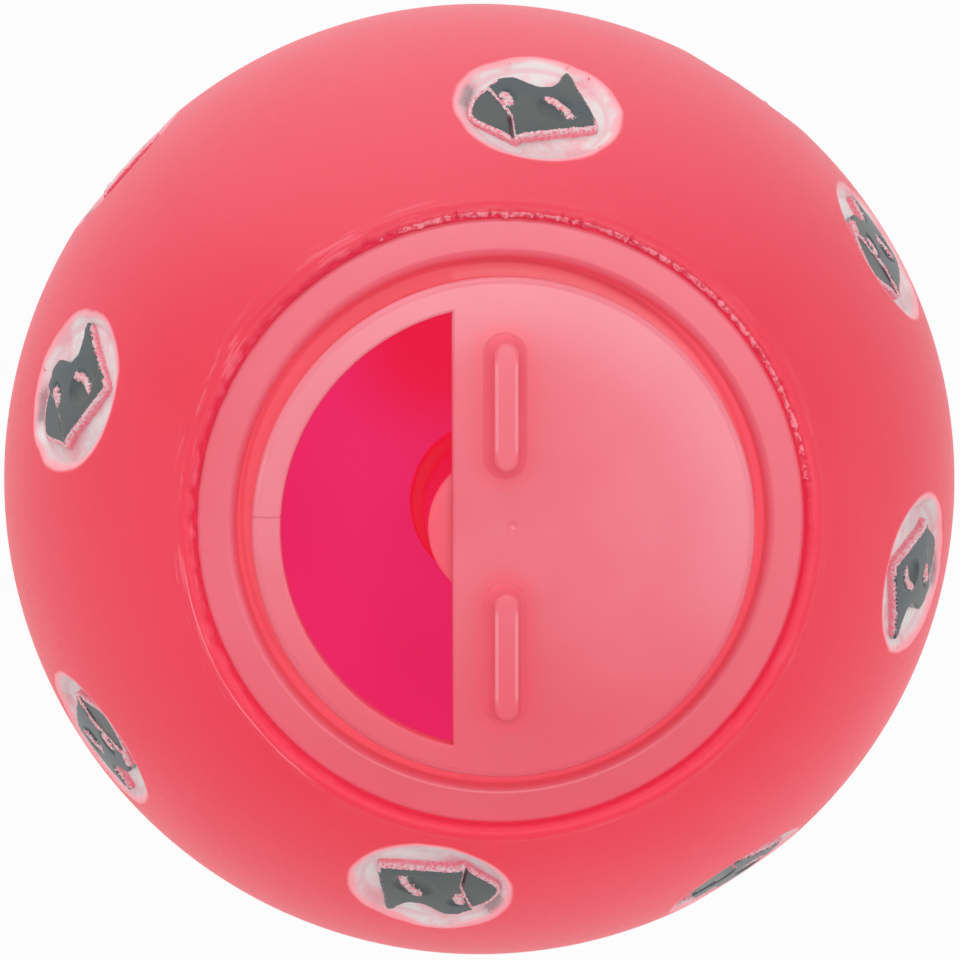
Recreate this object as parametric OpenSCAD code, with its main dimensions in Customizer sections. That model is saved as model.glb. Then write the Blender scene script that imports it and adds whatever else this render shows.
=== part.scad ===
// Treat dispensing ball: a soft vinyl ball with a rotating dial valve in its mouth.
// The origin is the ball's centre and +Z points out of the mouth, along the dial's axis.

/* [Ball] */
// Outside diameter of the ball
ball_d = 70; // [68:1:76]
// Thickness of the vinyl skin
wall_t = 2.4; // [2.1:0.1:2.8]

/* [Mouth] */
// Gap between the cap's flange and the skin around it
rim_gap = 0.15; // [0.1:0.05:0.3]
// Radius of the skin's soft turn at the mouth
mouth_round = 0.5; // [0.3:0.1:0.7]
// Depth of the sleeve that grips the cap, below the flange's seat
sleeve_depth = 4.8; // [4:0.1:6]
// Wall of that sleeve
sleeve_t = 2.1; // [1.8:0.1:2.4]

/* [Cap] */
// Gap between the dial's rim and the wall of the well that it lies in
dial_gap = 0.85; // [0.7:0.05:1]
// Width of the cap's flange, outwards from the well
flange_w = 2.55; // [2.2:0.05:2.9]
// Thickness of the flange
flange_t = 1.2; // [1:0.1:1.6]
// How far the flange's face lies below the turn of the skin
flange_drop = 0.25; // [0:0.05:0.5]
// Depth of the well below the flange's face
well_depth = 3.8; // [3.4:0.1:4.4]
// Wall and floor of the cap
cap_t = 1.1; // [0.9:0.1:1.15]
// How far the snap bead stands out under the sleeve
bead_reach = 0.7; // [0.4:0.1:0.9]
// Wall of the hub tube
hub_t = 1.8; // [1.5:0.1:2.2]
// Length of the hub tube
hub_length = 13.6; // [11:0.1:16]

/* [Dial] */
// Outer radius of the dial
dial_r = 15.85; // [15.4:0.05:16.4]
// Thickness of the dial's plate
dial_t = 1.2; // [1:0.1:1.4]
// How far the dial's face stands above the flange
dial_rise = 1; // [0.6:0.1:1.2]
// Sideways lie of the dial's axis in the well, along X
dial_shift_x = 0.1; // [0:0.02:0.2]
// Sideways lie of the dial's axis in the well, along Y
dial_shift_y = -0.26; // [-0.36:0.02:0]
// Width of the dial's rim outside the window's round edge
window_rim = 1.8; // [1.6:0.1:2.2]
// Distance of the window's straight edge from the dial's axis
window_chord = 3.3; // [3.1:0.1:3.6]
// Gap between the skirt under the dial's rim and the well's floor
skirt_gap = 0.9; // [0.5:0.1:1.4]
// Radius of the pivot post
post_r = 2.95; // [2.5:0.05:3.2]
// Running clearance between the post and the hub
post_clearance = 0.05; // [0.02:0.01:0.1]

/* [Grips] */
// Length of each grip rib
grip_length = 8.8; // [8:0.1:9.4]
// Width of a grip rib at its foot
grip_w = 2.35; // [2:0.05:2.8]
// Width of a grip rib at its top
grip_top_w = 1.45; // [1.2:0.05:1.8]
// Height of a grip rib
grip_h = 1.7; // [1.2:0.1:2]
// Distance between the inner ends of the two ribs
grip_gap = 6.8; // [6:0.1:7.4]

/* [Pivot cap] */
// How far the retaining cap on the post's end stands out past the hub
pivot_cap_lip = 0.8; // [0.5:0.1:1.2]
// Thickness of the retaining cap
pivot_cap_t = 2.4; // [2:0.1:3]
// Radius of the stud that it is pressed on
stud_r = 2; // [1.6:0.1:2.2]

/* [Medallions] */
// Radius of a dish where it meets the ball's surface
dish_r = 5.35; // [5.1:0.05:5.6]
// Width of a dish's sloping wall, seen from above
dish_wall_w = 0.85; // [0.6:0.05:1]
// Depth of a dish at its centre
dish_depth = 0.95; // [0.8:0.05:1.2]
// Distance along the ball between the mouth's turn and the nearest dish
dish_margin = 1.5; // [1:0.1:2]
// How far a cat head's face lies below the ball's surface
head_drop = 0.15; // [0.1:0.05:0.3]
// How far its far cheek lies below the ball's surface
cheek_drop = 0.35; // [0.3:0.05:0.5]
// Depth of the eyes below the head's face
eye_depth = 0.35; // [0.2:0.05:0.45]

/* [Hidden] */
$fn = 96;

// Clearances and small roundings
// Gap between faces that pass each other
slide_gap = 0.3;
// Gap between the cap's neck and the sleeve
neck_gap = 0.1;
// Height of the skin's upright edge around the flange
rim_wall_h = 0.35;
// Rounding of the flange's outer edge
flange_round = 0.3;
// Rounding of the flange's inner edge
well_round = 0.65;
// Rounding of the dial's rim
rim_round = 0.45;
// Wall of the skirt under the dial's rim
skirt_t = 1.15;
// Height of the snap bead with its lead-in
bead_h = 0.9;
// How far the fixed half floor stays behind the window's straight edge
floor_setback = 0.3;
// Interference of the press fit on the stud
press = 0.02;
// Overrun of every cut
over = 0.5;
// Steps in a rounded corner
round_steps = 5;

// Radii
ball_r = ball_d / 2;
well_r = dial_r + dial_gap;
flange_r = well_r + flange_w;
rim_r = flange_r + rim_gap;
neck_r = well_r + cap_t;
sleeve_r = neck_r + neck_gap;
window_r = dial_r - window_rim;
skirt_r = dial_r - skirt_t;
half_floor_r = skirt_r - slide_gap;
ledge_r = dial_r - cap_t / 2;
hub_bore_r = post_r + post_clearance;
hub_r = hub_bore_r + hub_t;
pivot_cap_r = hub_r + pivot_cap_lip;
dish_floor_r = dish_r - dish_wall_w;

// The mouth's turn is an arc about turn_c. It starts upright at the flange's gap and
// touches the ball from inside, at the height turn_z.
turn_c_r = rim_r + mouth_round;
turn_c = [turn_c_r, sqrt(pow(ball_r - mouth_round, 2) - pow(turn_c_r, 2))];
turn_angle = atan2(turn_c[1], turn_c[0]);
turn_z = ball_r * sin(turn_angle);

// Heights, from the ball's centre
flange_z = turn_z - flange_drop;
seat_z = flange_z - flange_t;
well_z = flange_z - well_depth;
dial_z = flange_z + dial_rise;
plate_z = dial_z - dial_t;
floor_z = plate_z - slide_gap;
skirt_z = well_z + skirt_gap;
sleeve_z = seat_z - sleeve_depth;
hub_z = floor_z - hub_length;
pivot_cap_z = hub_z - slide_gap - pivot_cap_t;
dish_edge_z = sqrt(pow(ball_r, 2) - pow(dish_r, 2));
dish_floor_z = ball_r - dish_depth;

// A cat head turned a little to one side, in shares of the dish's radius: the rounded
// ear, the dip, the pointed ear, the near cheek, the chin and the far cheek
head_outline_shares = [
    [-0.66, 0.25], [-0.57, 0.41], [-0.42, 0.48], [-0.26, 0.44], [-0.08, 0.38], [0.06, 0.44],
    [0.14, 0.56], [0.15, 0.70], [0.20, 0.80], [0.31, 0.73], [0.42, 0.52], [0.60, 0.24],
    [0.76, -0.07], [0.72, -0.16], [0.49, -0.31], [0.20, -0.48], [-0.06, -0.62],
    [-0.12, -0.71], [-0.34, -0.61], [-0.68, -0.46], [-0.75, -0.18], [-0.73, 0.07]
];
// The far cheek, beyond the line that runs from the head's edge past the eye to the chin
cheek_outline_shares = [
    [-0.70, 0.22], [-0.42, -0.05], [-0.26, -0.24], [-0.12, -0.75], [-0.90, -0.75], [-0.90, 0.22]
];
// The two eyes: place across and up, half width and half height, in the same shares
eye_shares = [[0.24, -0.02, 0.18, 0.13], [-0.38, -0.02, 0.12, 0.13]];
// Corners in an eye's outline
eye_corners = 12;

// Where the medallions of one half lie: share of the way from the nearest place beside the
// mouth to the ball's middle, angle around the mouth's axis, and the turn of the head,
// which is 0 with its ears away from the mouth
medallion_shares = [
    [0.08, 84.2, -11], [0.5, 32.3, 72], [0.24, -9.4, -90], [0.485, -57, -172], [0, -100.3, -17],
    [0.46, -148.6, 84], [0.235, 164, -67], [0.84, 138, -30], [0.875, 56.5, 150]
];
// Angle from the mouth's axis to that nearest place
first_polar = 90 - turn_angle + asin(dish_r / ball_r) + dish_margin / ball_r * 180 / PI;

// Points of a round corner of radius r about c, from angle a to angle b
function corner(c, r, a, b) =
    [for (i = [0 : round_steps]) let (t = a + (b - a) * i / round_steps)
        c + r * [cos(t), sin(t)]];

// Places its children on every medallion, with +Z outwards from the ball's centre. The
// second half is the first one seen through that centre.
module on_medallions() {
    for (m = medallion_shares) {
        polar = first_polar + m[0] * (90 - first_polar);
        rotate([0, 0, m[1]])
            rotate([0, polar, 0])
                rotate([0, 0, m[2] - 90])
                    children();
        rotate([0, 0, m[1] + 180])
            rotate([0, 180 - polar, 0])
                rotate([0, 0, m[2] - 90])
                    children();
    }
}

// What a dish takes away: a cone with a flat floor, open past the ball's surface
module dish_cut() {
    height = dish_depth + over;
    widening = dish_wall_w * height / (dish_edge_z - dish_floor_z);
    translate([0, 0, dish_floor_z])
        cylinder(r1 = dish_floor_r, r2 = dish_floor_r + widening, h = height);
}

// The raised head: its face follows the ball's curve, and the far cheek lies deeper
module cat_head() {
    difference() {
        intersection() {
            translate([0, 0, dish_floor_z - dish_depth / 2])
                linear_extrude(2 * dish_depth)
                    polygon(dish_r * head_outline_shares);
            sphere(r = ball_r - head_drop);
        }
        difference() {
            translate([0, 0, dish_floor_z])
                linear_extrude(2 * dish_depth)
                    polygon(dish_r * cheek_outline_shares);
            sphere(r = ball_r - cheek_drop);
        }
        for (e = eye_shares)
            translate([0, 0, ball_r - head_drop - eye_depth])
                linear_extrude(eye_depth + over)
                    polygon([for (i = [1 : eye_corners]) let (t = 360 * i / eye_corners)
                        dish_r * [e[0] + e[2] * cos(t), e[1] + e[3] * sin(t)]]);
    }
}

// What is cut away for the mouth: the bore of the sleeve, the flange's seat and the
// rounded turn of the skin
module mouth_cut() {
    rotate_extrude()
        polygon(concat(
            [[0, sleeve_z - over], [sleeve_r, sleeve_z - over], [sleeve_r, seat_z],
             [rim_r, seat_z], [rim_r, seat_z + rim_wall_h]],
            corner(turn_c, mouth_round, 180, turn_angle),
            [[turn_c_r, ball_r + over], [0, ball_r + over]]));
}

module ball_shell() {
    color("#ea5069")
        difference() {
            union() {
                difference() {
                    sphere(r = ball_r);
                    sphere(r = ball_r - wall_t);
                }
                intersection() {
                    sphere(r = ball_r);
                    translate([0, 0, sleeve_z])
                        cylinder(r = sleeve_r + sleeve_t, h = ball_r);
                }
            }
            mouth_cut();
            on_medallions()
                dish_cut();
        }
    color("#666d70")
        on_medallions()
            cat_head();
}

// Half floor under the dial: a plate at the dial's underside, stepped down at its edge to
// the well's floor so that the dial's skirt can run around it
module half_floor() {
    difference() {
        rotate_extrude()
            polygon([
                [0, floor_z - cap_t], [half_floor_r - cap_t, floor_z - cap_t],
                [half_floor_r - cap_t, well_z - cap_t], [well_r - cap_t / 2, well_z - cap_t],
                [well_r - cap_t / 2, well_z], [half_floor_r, well_z],
                [half_floor_r, floor_z], [0, floor_z]
            ]);
        translate([-window_chord + floor_setback - 2 * well_r, -well_r, well_z - cap_t - over])
            cube([2 * well_r, 2 * well_r, floor_z - well_z + cap_t + 2 * over]);
    }
}

module cap_body() {
    color("#ee8090")
        difference() {
            union() {
                rotate_extrude()
                    polygon(concat(
                        [[ledge_r, well_z - cap_t], [well_r, well_z - cap_t],
                         [well_r, sleeve_z - bead_h],
                         [neck_r, sleeve_z - bead_h],
                         [neck_r + bead_reach, sleeve_z - bead_h / 2],
                         [neck_r + bead_reach, sleeve_z - bead_h / 4],
                         [neck_r, sleeve_z], [neck_r, seat_z], [flange_r, seat_z]],
                        corner([flange_r - flange_round, flange_z - flange_round],
                            flange_round, 0, 90),
                        corner([well_r + well_round, flange_z - well_round],
                            well_round, 90, 180),
                        [[well_r, well_z], [ledge_r, well_z]]));
                translate([dial_shift_x, dial_shift_y, 0]) {
                    half_floor();
                    translate([0, 0, hub_z])
                        cylinder(r = hub_r, h = hub_length);
                }
            }
            translate([dial_shift_x, dial_shift_y, hub_z - over])
                cylinder(r = hub_bore_r, h = hub_length + 2 * over);
        }
}

// A straight rib with sloping sides and cone ends, standing on the dial along Y with its
// root in the plate
module grip_rib() {
    run = grip_length - grip_w;
    root = dial_t / 2;
    translate([0, (grip_gap + grip_w) / 2, dial_z]) {
        translate([0, run, 0])
            rotate([90, 0, 0])
                linear_extrude(run)
                    polygon([[-grip_w / 2, -root], [grip_w / 2, -root], [grip_w / 2, 0],
                             [grip_top_w / 2, grip_h], [-grip_top_w / 2, grip_h],
                             [-grip_w / 2, 0]]);
        for (y = [0, run])
            translate([0, y, 0])
                rotate_extrude()
                    polygon([[0, -root], [grip_w / 2, -root], [grip_w / 2, 0],
                             [grip_top_w / 2, grip_h], [0, grip_h]]);
    }
}

module dial_disc() {
    color("#f08a98")
        translate([dial_shift_x, dial_shift_y, 0]) {
            difference() {
                rotate_extrude()
                    polygon(concat(
                        [[0, plate_z], [skirt_r, plate_z], [skirt_r, skirt_z],
                         [dial_r, skirt_z]],
                        corner([dial_r - rim_round, dial_z - rim_round], rim_round, 0, 90),
                        [[0, dial_z]]));
                intersection() {
                    translate([0, 0, plate_z - over])
                        cylinder(r = window_r, h = dial_t + 2 * over);
                    translate([-window_chord - 2 * window_r, -window_r, plate_z - over])
                        cube([2 * window_r, 2 * window_r, dial_t + 2 * over]);
                }
            }
            for (a = [0, 180])
                rotate([0, 0, a])
                    grip_rib();
            translate([0, 0, hub_z - slide_gap])
                cylinder(r = post_r, h = plate_z - hub_z + slide_gap + dial_t / 2);
            translate([0, 0, pivot_cap_z + pivot_cap_t / 4])
                cylinder(r = stud_r, h = hub_z - pivot_cap_z - pivot_cap_t / 4);
        }
}

module pivot_cap() {
    color("#e86a7c")
        translate([dial_shift_x, dial_shift_y, pivot_cap_z])
            difference() {
                cylinder(r = pivot_cap_r, h = pivot_cap_t);
                translate([0, 0, pivot_cap_t / 4])
                    cylinder(r = stud_r - press, h = pivot_cap_t);
            }
}

ball_shell();
cap_body();
dial_disc();
pivot_cap();
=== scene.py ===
import math

import bmesh
import bpy
import numpy as np
from mathutils import Color, Matrix, Vector, noise


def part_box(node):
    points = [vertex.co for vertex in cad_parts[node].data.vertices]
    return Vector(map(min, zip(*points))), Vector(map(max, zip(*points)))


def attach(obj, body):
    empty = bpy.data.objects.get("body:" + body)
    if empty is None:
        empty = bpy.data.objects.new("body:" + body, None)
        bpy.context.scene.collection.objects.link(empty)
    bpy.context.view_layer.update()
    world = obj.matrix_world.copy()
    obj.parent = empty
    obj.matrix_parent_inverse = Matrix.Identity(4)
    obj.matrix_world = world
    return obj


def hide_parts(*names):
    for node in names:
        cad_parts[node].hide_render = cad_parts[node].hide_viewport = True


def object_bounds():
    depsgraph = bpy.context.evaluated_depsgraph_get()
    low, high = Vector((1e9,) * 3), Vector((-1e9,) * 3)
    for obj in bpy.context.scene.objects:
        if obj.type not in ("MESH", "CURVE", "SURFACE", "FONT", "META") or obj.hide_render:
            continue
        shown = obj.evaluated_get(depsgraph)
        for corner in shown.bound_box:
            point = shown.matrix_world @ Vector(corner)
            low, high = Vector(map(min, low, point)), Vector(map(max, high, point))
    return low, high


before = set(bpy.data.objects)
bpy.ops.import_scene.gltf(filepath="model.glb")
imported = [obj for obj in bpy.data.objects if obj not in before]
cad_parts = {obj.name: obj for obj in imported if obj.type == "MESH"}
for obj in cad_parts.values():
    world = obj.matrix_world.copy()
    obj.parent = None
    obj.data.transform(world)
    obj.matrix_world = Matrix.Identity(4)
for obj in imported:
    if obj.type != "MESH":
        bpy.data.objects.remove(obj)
cad_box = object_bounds()

# The ball's skin is one hollow casting of soft coral vinyl. Its mouth turns inwards and
# runs down into a sleeve that grips the cap, and shallow round dishes are cast into its
# outside. The mould's flash along the mouth was trimmed with a knife.
MM = 0.001
# Smallest step that the cuts and merges tell apart
hair = 0.001 * MM
ball_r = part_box("ball_shell")[1].x
skin_wall = 2.4 * MM
cap_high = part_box("cap_body")[1]
flange_r = cap_high.x
flange_z = cap_high.z
flange_t = 1.2 * MM
flange_gap = 0.15 * MM
seat_z = flange_z - flange_t
rim_r = flange_r + flange_gap
mouth_round = 0.5 * MM
sleeve_r = 17.9 * MM
sleeve_wall = 2.1 * MM
sleeve_h = 4.8 * MM
sleeve_z = seat_z - sleeve_h

dish_r = 5.35 * MM
dish_wall_w = 0.85 * MM
dish_depth = 0.95 * MM
dish_margin = 1.5 * MM
dish_edge_round = 0.75 * MM
dish_foot_round = 0.45 * MM
# Angles seen from the ball's centre: of the patch of skin that is made with a dish, and of
# the gap around it that is bridged to the plain ball
patch_angle = math.radians(9.75)
seam_angle = math.radians(0.2)

# Share of the way from the nearest place beside the mouth to the ball's middle belt, angle
# around the mouth's axis, and turn of the cat head, for the medallions of one half
medallion_shares = [
    (0.08, 84.2, -11), (0.5, 32.3, 72), (0.24, -9.4, -90), (0.485, -57, -172), (0, -100.3, -17),
    (0.46, -148.6, 84), (0.235, 164, -67), (0.84, 138, -30), (0.875, 56.5, 150)
]


def rounded(corners, steps=5):
    """Points of an outline given as (radius, height, rounding) for each of its corners."""
    points = []
    for i, (radius, height, rounding) in enumerate(corners):
        here = Vector((radius, height, 0))
        if not rounding:
            points.append(here)
            continue
        back = (Vector((*corners[i - 1][:2], 0)) - here).normalized()
        on = (Vector((*corners[(i + 1) % len(corners)][:2], 0)) - here).normalized()
        half = back.angle(on) / 2
        centre = here + (back + on).normalized() * rounding / math.sin(half)
        start = here + back * rounding / math.tan(half) - centre
        end = here + on * rounding / math.tan(half) - centre
        for k in range(steps + 1):
            points.append(centre + rounding * start.slerp(end, k / steps))
    return points


def pick(piece):
    """Makes one object the only selected one."""
    bpy.ops.object.select_all(action="DESELECT")
    piece.select_set(True)
    bpy.context.view_layer.objects.active = piece


def turned(name, points, sides, axis=(0, 0)):
    """Draws an outline point by point and spins it into a turned piece, left in edit mode."""
    bpy.ops.object.select_all(action="DESELECT")
    bpy.ops.mesh.primitive_plane_add(size=MM)
    piece = bpy.context.active_object
    piece.name = piece.data.name = name
    bpy.ops.object.mode_set(mode="EDIT")
    bpy.ops.mesh.merge(type="CENTER")
    bpy.ops.transform.translate(value=(axis[0] + points[0].x, axis[1], points[0].y))
    for a, b in zip(points, points[1:]):
        step = {"value": (b.x - a.x, 0, b.y - a.y)}
        bpy.ops.mesh.extrude_vertices_move(TRANSFORM_OT_translate=step)
    bpy.ops.mesh.select_all(action="SELECT")
    bpy.ops.mesh.spin(steps=sides, angle=math.tau, center=(*axis, 0), axis=(0, 0, 1))
    bpy.ops.mesh.select_all(action="SELECT")
    bpy.ops.mesh.remove_doubles(threshold=2 * hair)
    return piece


def finished(piece, angle=40):
    """Points a closed piece's faces outwards, leaves edit mode and smooths its shading."""
    bpy.ops.mesh.select_all(action="SELECT")
    bpy.ops.mesh.normals_make_consistent(inside=False)
    bpy.ops.object.mode_set(mode="OBJECT")
    pick(piece)
    bpy.ops.object.shade_smooth_by_angle(angle=math.radians(angle))
    return piece


def joined(first, *others):
    """Joins the others into the first piece."""
    pick(first)
    for piece in others:
        piece.select_set(True)
    bpy.ops.object.join()
    return first


def placed_copy(piece, name, matrix):
    """A copy with its own mesh, put in its place."""
    pick(piece)
    bpy.ops.object.duplicate()
    copy = bpy.context.active_object
    copy.name = copy.data.name = name
    copy.matrix_world = matrix
    bpy.ops.object.transform_apply(location=True, rotation=True, scale=True)
    return copy


def on_sphere(radius, sphere_r):
    """Height of a sphere at a distance from its axis."""
    return math.sqrt(sphere_r ** 2 - radius ** 2)


turn_r = rim_r + mouth_round
turn_z = on_sphere(turn_r, ball_r - mouth_round)
turn_angle = math.atan2(turn_z, turn_r)
mouth_angle = math.pi / 2 - turn_angle
first_polar = mouth_angle + math.asin(dish_r / ball_r) + dish_margin / ball_r

medallions = []
for share, around, turn in medallion_shares:
    polar = first_polar + share * (math.pi / 2 - first_polar)
    for far in (0, 1):
        medallions.append(
            Matrix.Rotation(math.radians(around + 180 * far), 4, "Z")
            @ Matrix.Rotation(math.pi - polar if far else polar, 4, "Y")
            @ Matrix.Rotation(math.radians(turn - 90), 4, "Z")
        )
dish_axes = [(place @ Vector((0, 0, 1))).normalized() for place in medallions]
# The last four, nearest the ball's middle belt, got only a thin coat of spray
first_thin = len(medallions) - 4

# One dish, turned about +Z, from the skin around it over its soft edge to its flat floor
dish_floor_z = ball_r - dish_depth
dish_floor_r = dish_r - dish_wall_w
patch_r = ball_r * math.sin(patch_angle)
dish_points = rounded([
    (patch_r, on_sphere(patch_r, ball_r), 0),
    (dish_r, on_sphere(dish_r, ball_r), dish_edge_round),
    (dish_floor_r, dish_floor_z, dish_foot_round),
    (0, dish_floor_z, 0),
], steps=6)
floor_ring_shares = (0.8, 0.5, 0.25)
dish_points[-1:-1] = [Vector((dish_floor_r * share, dish_floor_z, 0)) for share in floor_ring_shares]
dish = turned("dish", dish_points, 96)
bpy.ops.object.mode_set(mode="OBJECT")
dishes = [placed_copy(dish, f"dish_{i}", place) for i, place in enumerate(medallions)]
bpy.data.objects.remove(dish)

# The mouth, turned in one line from the ball's skin over a faint ridge and the soft turn
# to the upright edge around the flange, and on by the seat, the sleeve and the inside
ridge_step = math.radians(0.2)
ridge_ring = mouth_angle + ridge_step
lip_ring = mouth_angle + math.radians(0.65)
ridge_h = 0.05 * MM
inner_r = ball_r - skin_wall
mouth_points = [
    Vector(((ball_r + rise) * math.sin(a), (ball_r + rise) * math.cos(a), 0))
    for a, rise in (
        (lip_ring, 0), (ridge_ring + ridge_step, 0.2 * ridge_h), (ridge_ring, ridge_h),
        (mouth_angle, 0.2 * ridge_h)
    )
]
turn_steps = 7
for k in range(1, turn_steps + 1):
    a = turn_angle + (math.pi - turn_angle) * k / turn_steps
    on_turn = Vector((math.cos(a), math.sin(a), 0)) * mouth_round
    mouth_points.append(Vector((turn_r, turn_z, 0)) + on_turn)
mouth_points += rounded([
    (rim_r, (turn_z + seat_z) / 2, 0), (rim_r, seat_z, 0), (sleeve_r, seat_z, 0.1 * MM),
    (sleeve_r, sleeve_z, 0.3 * MM), (sleeve_r + sleeve_wall, sleeve_z, 0.3 * MM),
    (sleeve_r + sleeve_wall, on_sphere(sleeve_r + sleeve_wall, inner_r), 0)
], steps=2)
start_angle = math.asin((sleeve_r + sleeve_wall) / inner_r)
inner_steps = 24
for k in range(1, inner_steps + 1):
    a = start_angle + (math.pi - start_angle) * k / inner_steps
    mouth_points.append(Vector((inner_r * math.sin(a), inner_r * math.cos(a), 0)))
mouth = turned("mouth", mouth_points, 600)


def heading(angle):
    """The direction at an angle, in degrees, around the mouth's axis."""
    return Vector((math.cos(math.radians(angle)), math.sin(math.radians(angle)), 0))


# The knife left torn crumbs on the edge's upper right, scallops on its upper left, both
# lapping over the flange, and a smooth edge below
torn_at, scalloped_at = 60, 150
lap_z = turn_z + 0.2 * MM
knife_margin = 0.3 * MM
mesh = bmesh.from_edit_mesh(mouth.data)
for vertex in mesh.verts:
    out = Vector((vertex.co.x, vertex.co.y, 0))
    height = vertex.co.z - seat_z - knife_margin
    depth = turn_r + knife_margin - out.length
    if height < 0 or depth < 0:
        continue
    side = out.normalized()
    scalloped = min(max(side.dot(heading(scalloped_at)) - 0.2, 0) / 0.5, 1)
    torn = min(max(side.dot(heading(torn_at)) - 0.42, 0) / 0.3, 1)
    wave = noise.noise(side * 22) + 0.5 * noise.noise(side * 55 + Vector((0, 0, 3)))
    chips = noise.noise(side * 150 + Vector((0, 0, vertex.co.z / MM)))
    near = min(height / (0.4 * MM), 1) * min(depth / (0.5 * MM), 1)
    inward = 0.03 * chips + scalloped * (0.06 + 0.3 * wave) + torn * (0.05 + 0.35 * chips)
    if vertex.co.z < lap_z:
        inward = min(inward, 0.1)
    vertex.co -= side * near * inward * MM
    vertex.co.z += near * (scalloped + torn) * 0.06 * max(chips, 0) * MM
bmesh.update_edit_mesh(mouth.data)
bpy.ops.object.mode_set(mode="OBJECT")

# A plain ball gives the rest of the outside. Flat cuts take off its skin at the mouth and
# at each dish, and the turned parts close these holes.
bpy.ops.object.select_all(action="DESELECT")
bpy.ops.mesh.primitive_ico_sphere_add(subdivisions=7, radius=ball_r)
ball_skin = bpy.context.active_object
ball_skin.name = ball_skin.data.name = "ball_skin"
bpy.ops.object.mode_set(mode="EDIT")
holes = [(Vector((0, 0, 1)), lip_ring + seam_angle)]
holes += [(axis, patch_angle + seam_angle) for axis in dish_axes]
for axis, angle in holes:
    bpy.ops.mesh.select_all(action="SELECT")
    bpy.ops.mesh.bisect(
        plane_co=axis * ball_r * math.cos(angle), plane_no=axis, clear_outer=True,
        threshold=hair)
bpy.ops.mesh.select_all(action="SELECT")
bpy.ops.mesh.remove_doubles(threshold=30 * hair)
bpy.ops.object.mode_set(mode="OBJECT")
joined(ball_skin, mouth, *dishes)


def bridge_gap(piece, is_near):
    """Closes the gap between the two open edges whose points pass a test."""
    bpy.ops.mesh.select_all(action="DESELECT")
    mesh = bmesh.from_edit_mesh(piece.data)
    for edge in mesh.edges:
        if edge.is_boundary and all(is_near(vertex.co) for vertex in edge.verts):
            edge.select_set(True)
    bmesh.update_edit_mesh(piece.data)
    bpy.ops.mesh.bridge_edge_loops()


bpy.ops.object.mode_set(mode="EDIT")
bpy.ops.mesh.select_mode(type="EDGE")
for axis, angle in holes:
    nearest = ball_r * math.cos(angle + seam_angle)
    bridge_gap(ball_skin, lambda co: co.dot(axis) > nearest and co.length > ball_r - 0.1 * MM)
bpy.ops.mesh.select_mode(type="VERT")
finished(ball_skin, 60)

# Where each point lies in its nearest dish, in millimetres: across, up and out from the
# dish's middle
points = np.array([vertex.co for vertex in ball_skin.data.vertices]) / MM
frames = np.array([place.to_3x3().transposed() for place in medallions])
in_dishes = np.einsum("dij,pj->pdi", frames, points)
nearest_dish = in_dishes[:, :, 2].argmax(axis=1)
thin_spray = nearest_dish >= first_thin
dish_at = in_dishes[np.arange(len(points)), nearest_dish]
dish_at[:, 2] = np.linalg.norm(dish_at[:, :2], axis=1)
ball_skin.data.attributes.new("dish_at", "FLOAT_VECTOR", "POINT").data.foreach_set(
    "vector", dish_at.astype(np.float32).ravel())
ball_skin.data.attributes.new("thin_spray", "FLOAT", "POINT").data.foreach_set(
    "value", thin_spray.astype(np.float32))


def screen_colour(red, green, blue):
    """A colour as a screen shows it, from 0 to 255, in the renderer's own values."""
    return (*Color((red / 255, green / 255, blue / 255)).from_srgb_to_scene_linear(), 1)


def put(tree, kind, *values, **settings):
    """Adds a node, with its settings, and fills its inputs in order with values or links."""
    node = tree.nodes.new("ShaderNode" + kind)
    for name, value in settings.items():
        setattr(node, name, value)
    for socket, value in zip(node.inputs, values):
        if isinstance(value, bpy.types.NodeSocket):
            tree.links.new(value, socket)
        elif value is not None:
            socket.default_value = value
    return node


def calc(tree, operation, *values):
    """One step of arithmetic."""
    return put(tree, "Math", *values, operation=operation).outputs[0]


def product(tree, first, *others):
    """Several masks multiplied together."""
    for other in others:
        first = calc(tree, "MULTIPLY", first, other)
    return first


def mixed(tree, mask, under, over):
    """One colour laid over another through a mask."""
    node = tree.nodes.new("ShaderNodeMix")
    node.data_type = "RGBA"
    # The sockets for colours come after the node's others
    for key, value in ((0, mask), (6, under), (7, over)):
        if isinstance(value, bpy.types.NodeSocket):
            tree.links.new(value, node.inputs[key])
        else:
            node.inputs[key].default_value = value
    return node.outputs[2]


def fade(tree, value, start, end):
    """0 before the start, 1 after the end, and smooth between them."""
    return put(tree, "MapRange", value, start, end, 0, 1, interpolation_type="SMOOTHSTEP").outputs[0]


def cloud(tree, place, scale, detail=2.0, rough=0.5):
    """Soft noise from 0 to 1 at so many waves a metre."""
    return put(tree, "TexNoise", place, None, scale, detail, rough).outputs[0]


def axis_distance(tree, place):
    """Distance of a place from the upright axis through the origin."""
    flat = put(tree, "VectorMath", place, (1, 1, 0), operation="MULTIPLY").outputs[0]
    return put(tree, "VectorMath", flat, operation="LENGTH").outputs["Value"]


def new_group(name, inputs, outputs):
    """An empty node group with named inputs and outputs."""
    group = bpy.data.node_groups.new(name, "ShaderNodeTree")
    for label, value in inputs.items():
        socket = group.interface.new_socket(label, in_out="INPUT", socket_type="NodeSocketFloat")
        socket.default_value = value
    for label in outputs:
        group.interface.new_socket(label, in_out="OUTPUT", socket_type="NodeSocketFloat")
    return group, group.nodes.new("NodeGroupInput"), group.nodes.new("NodeGroupOutput")


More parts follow.
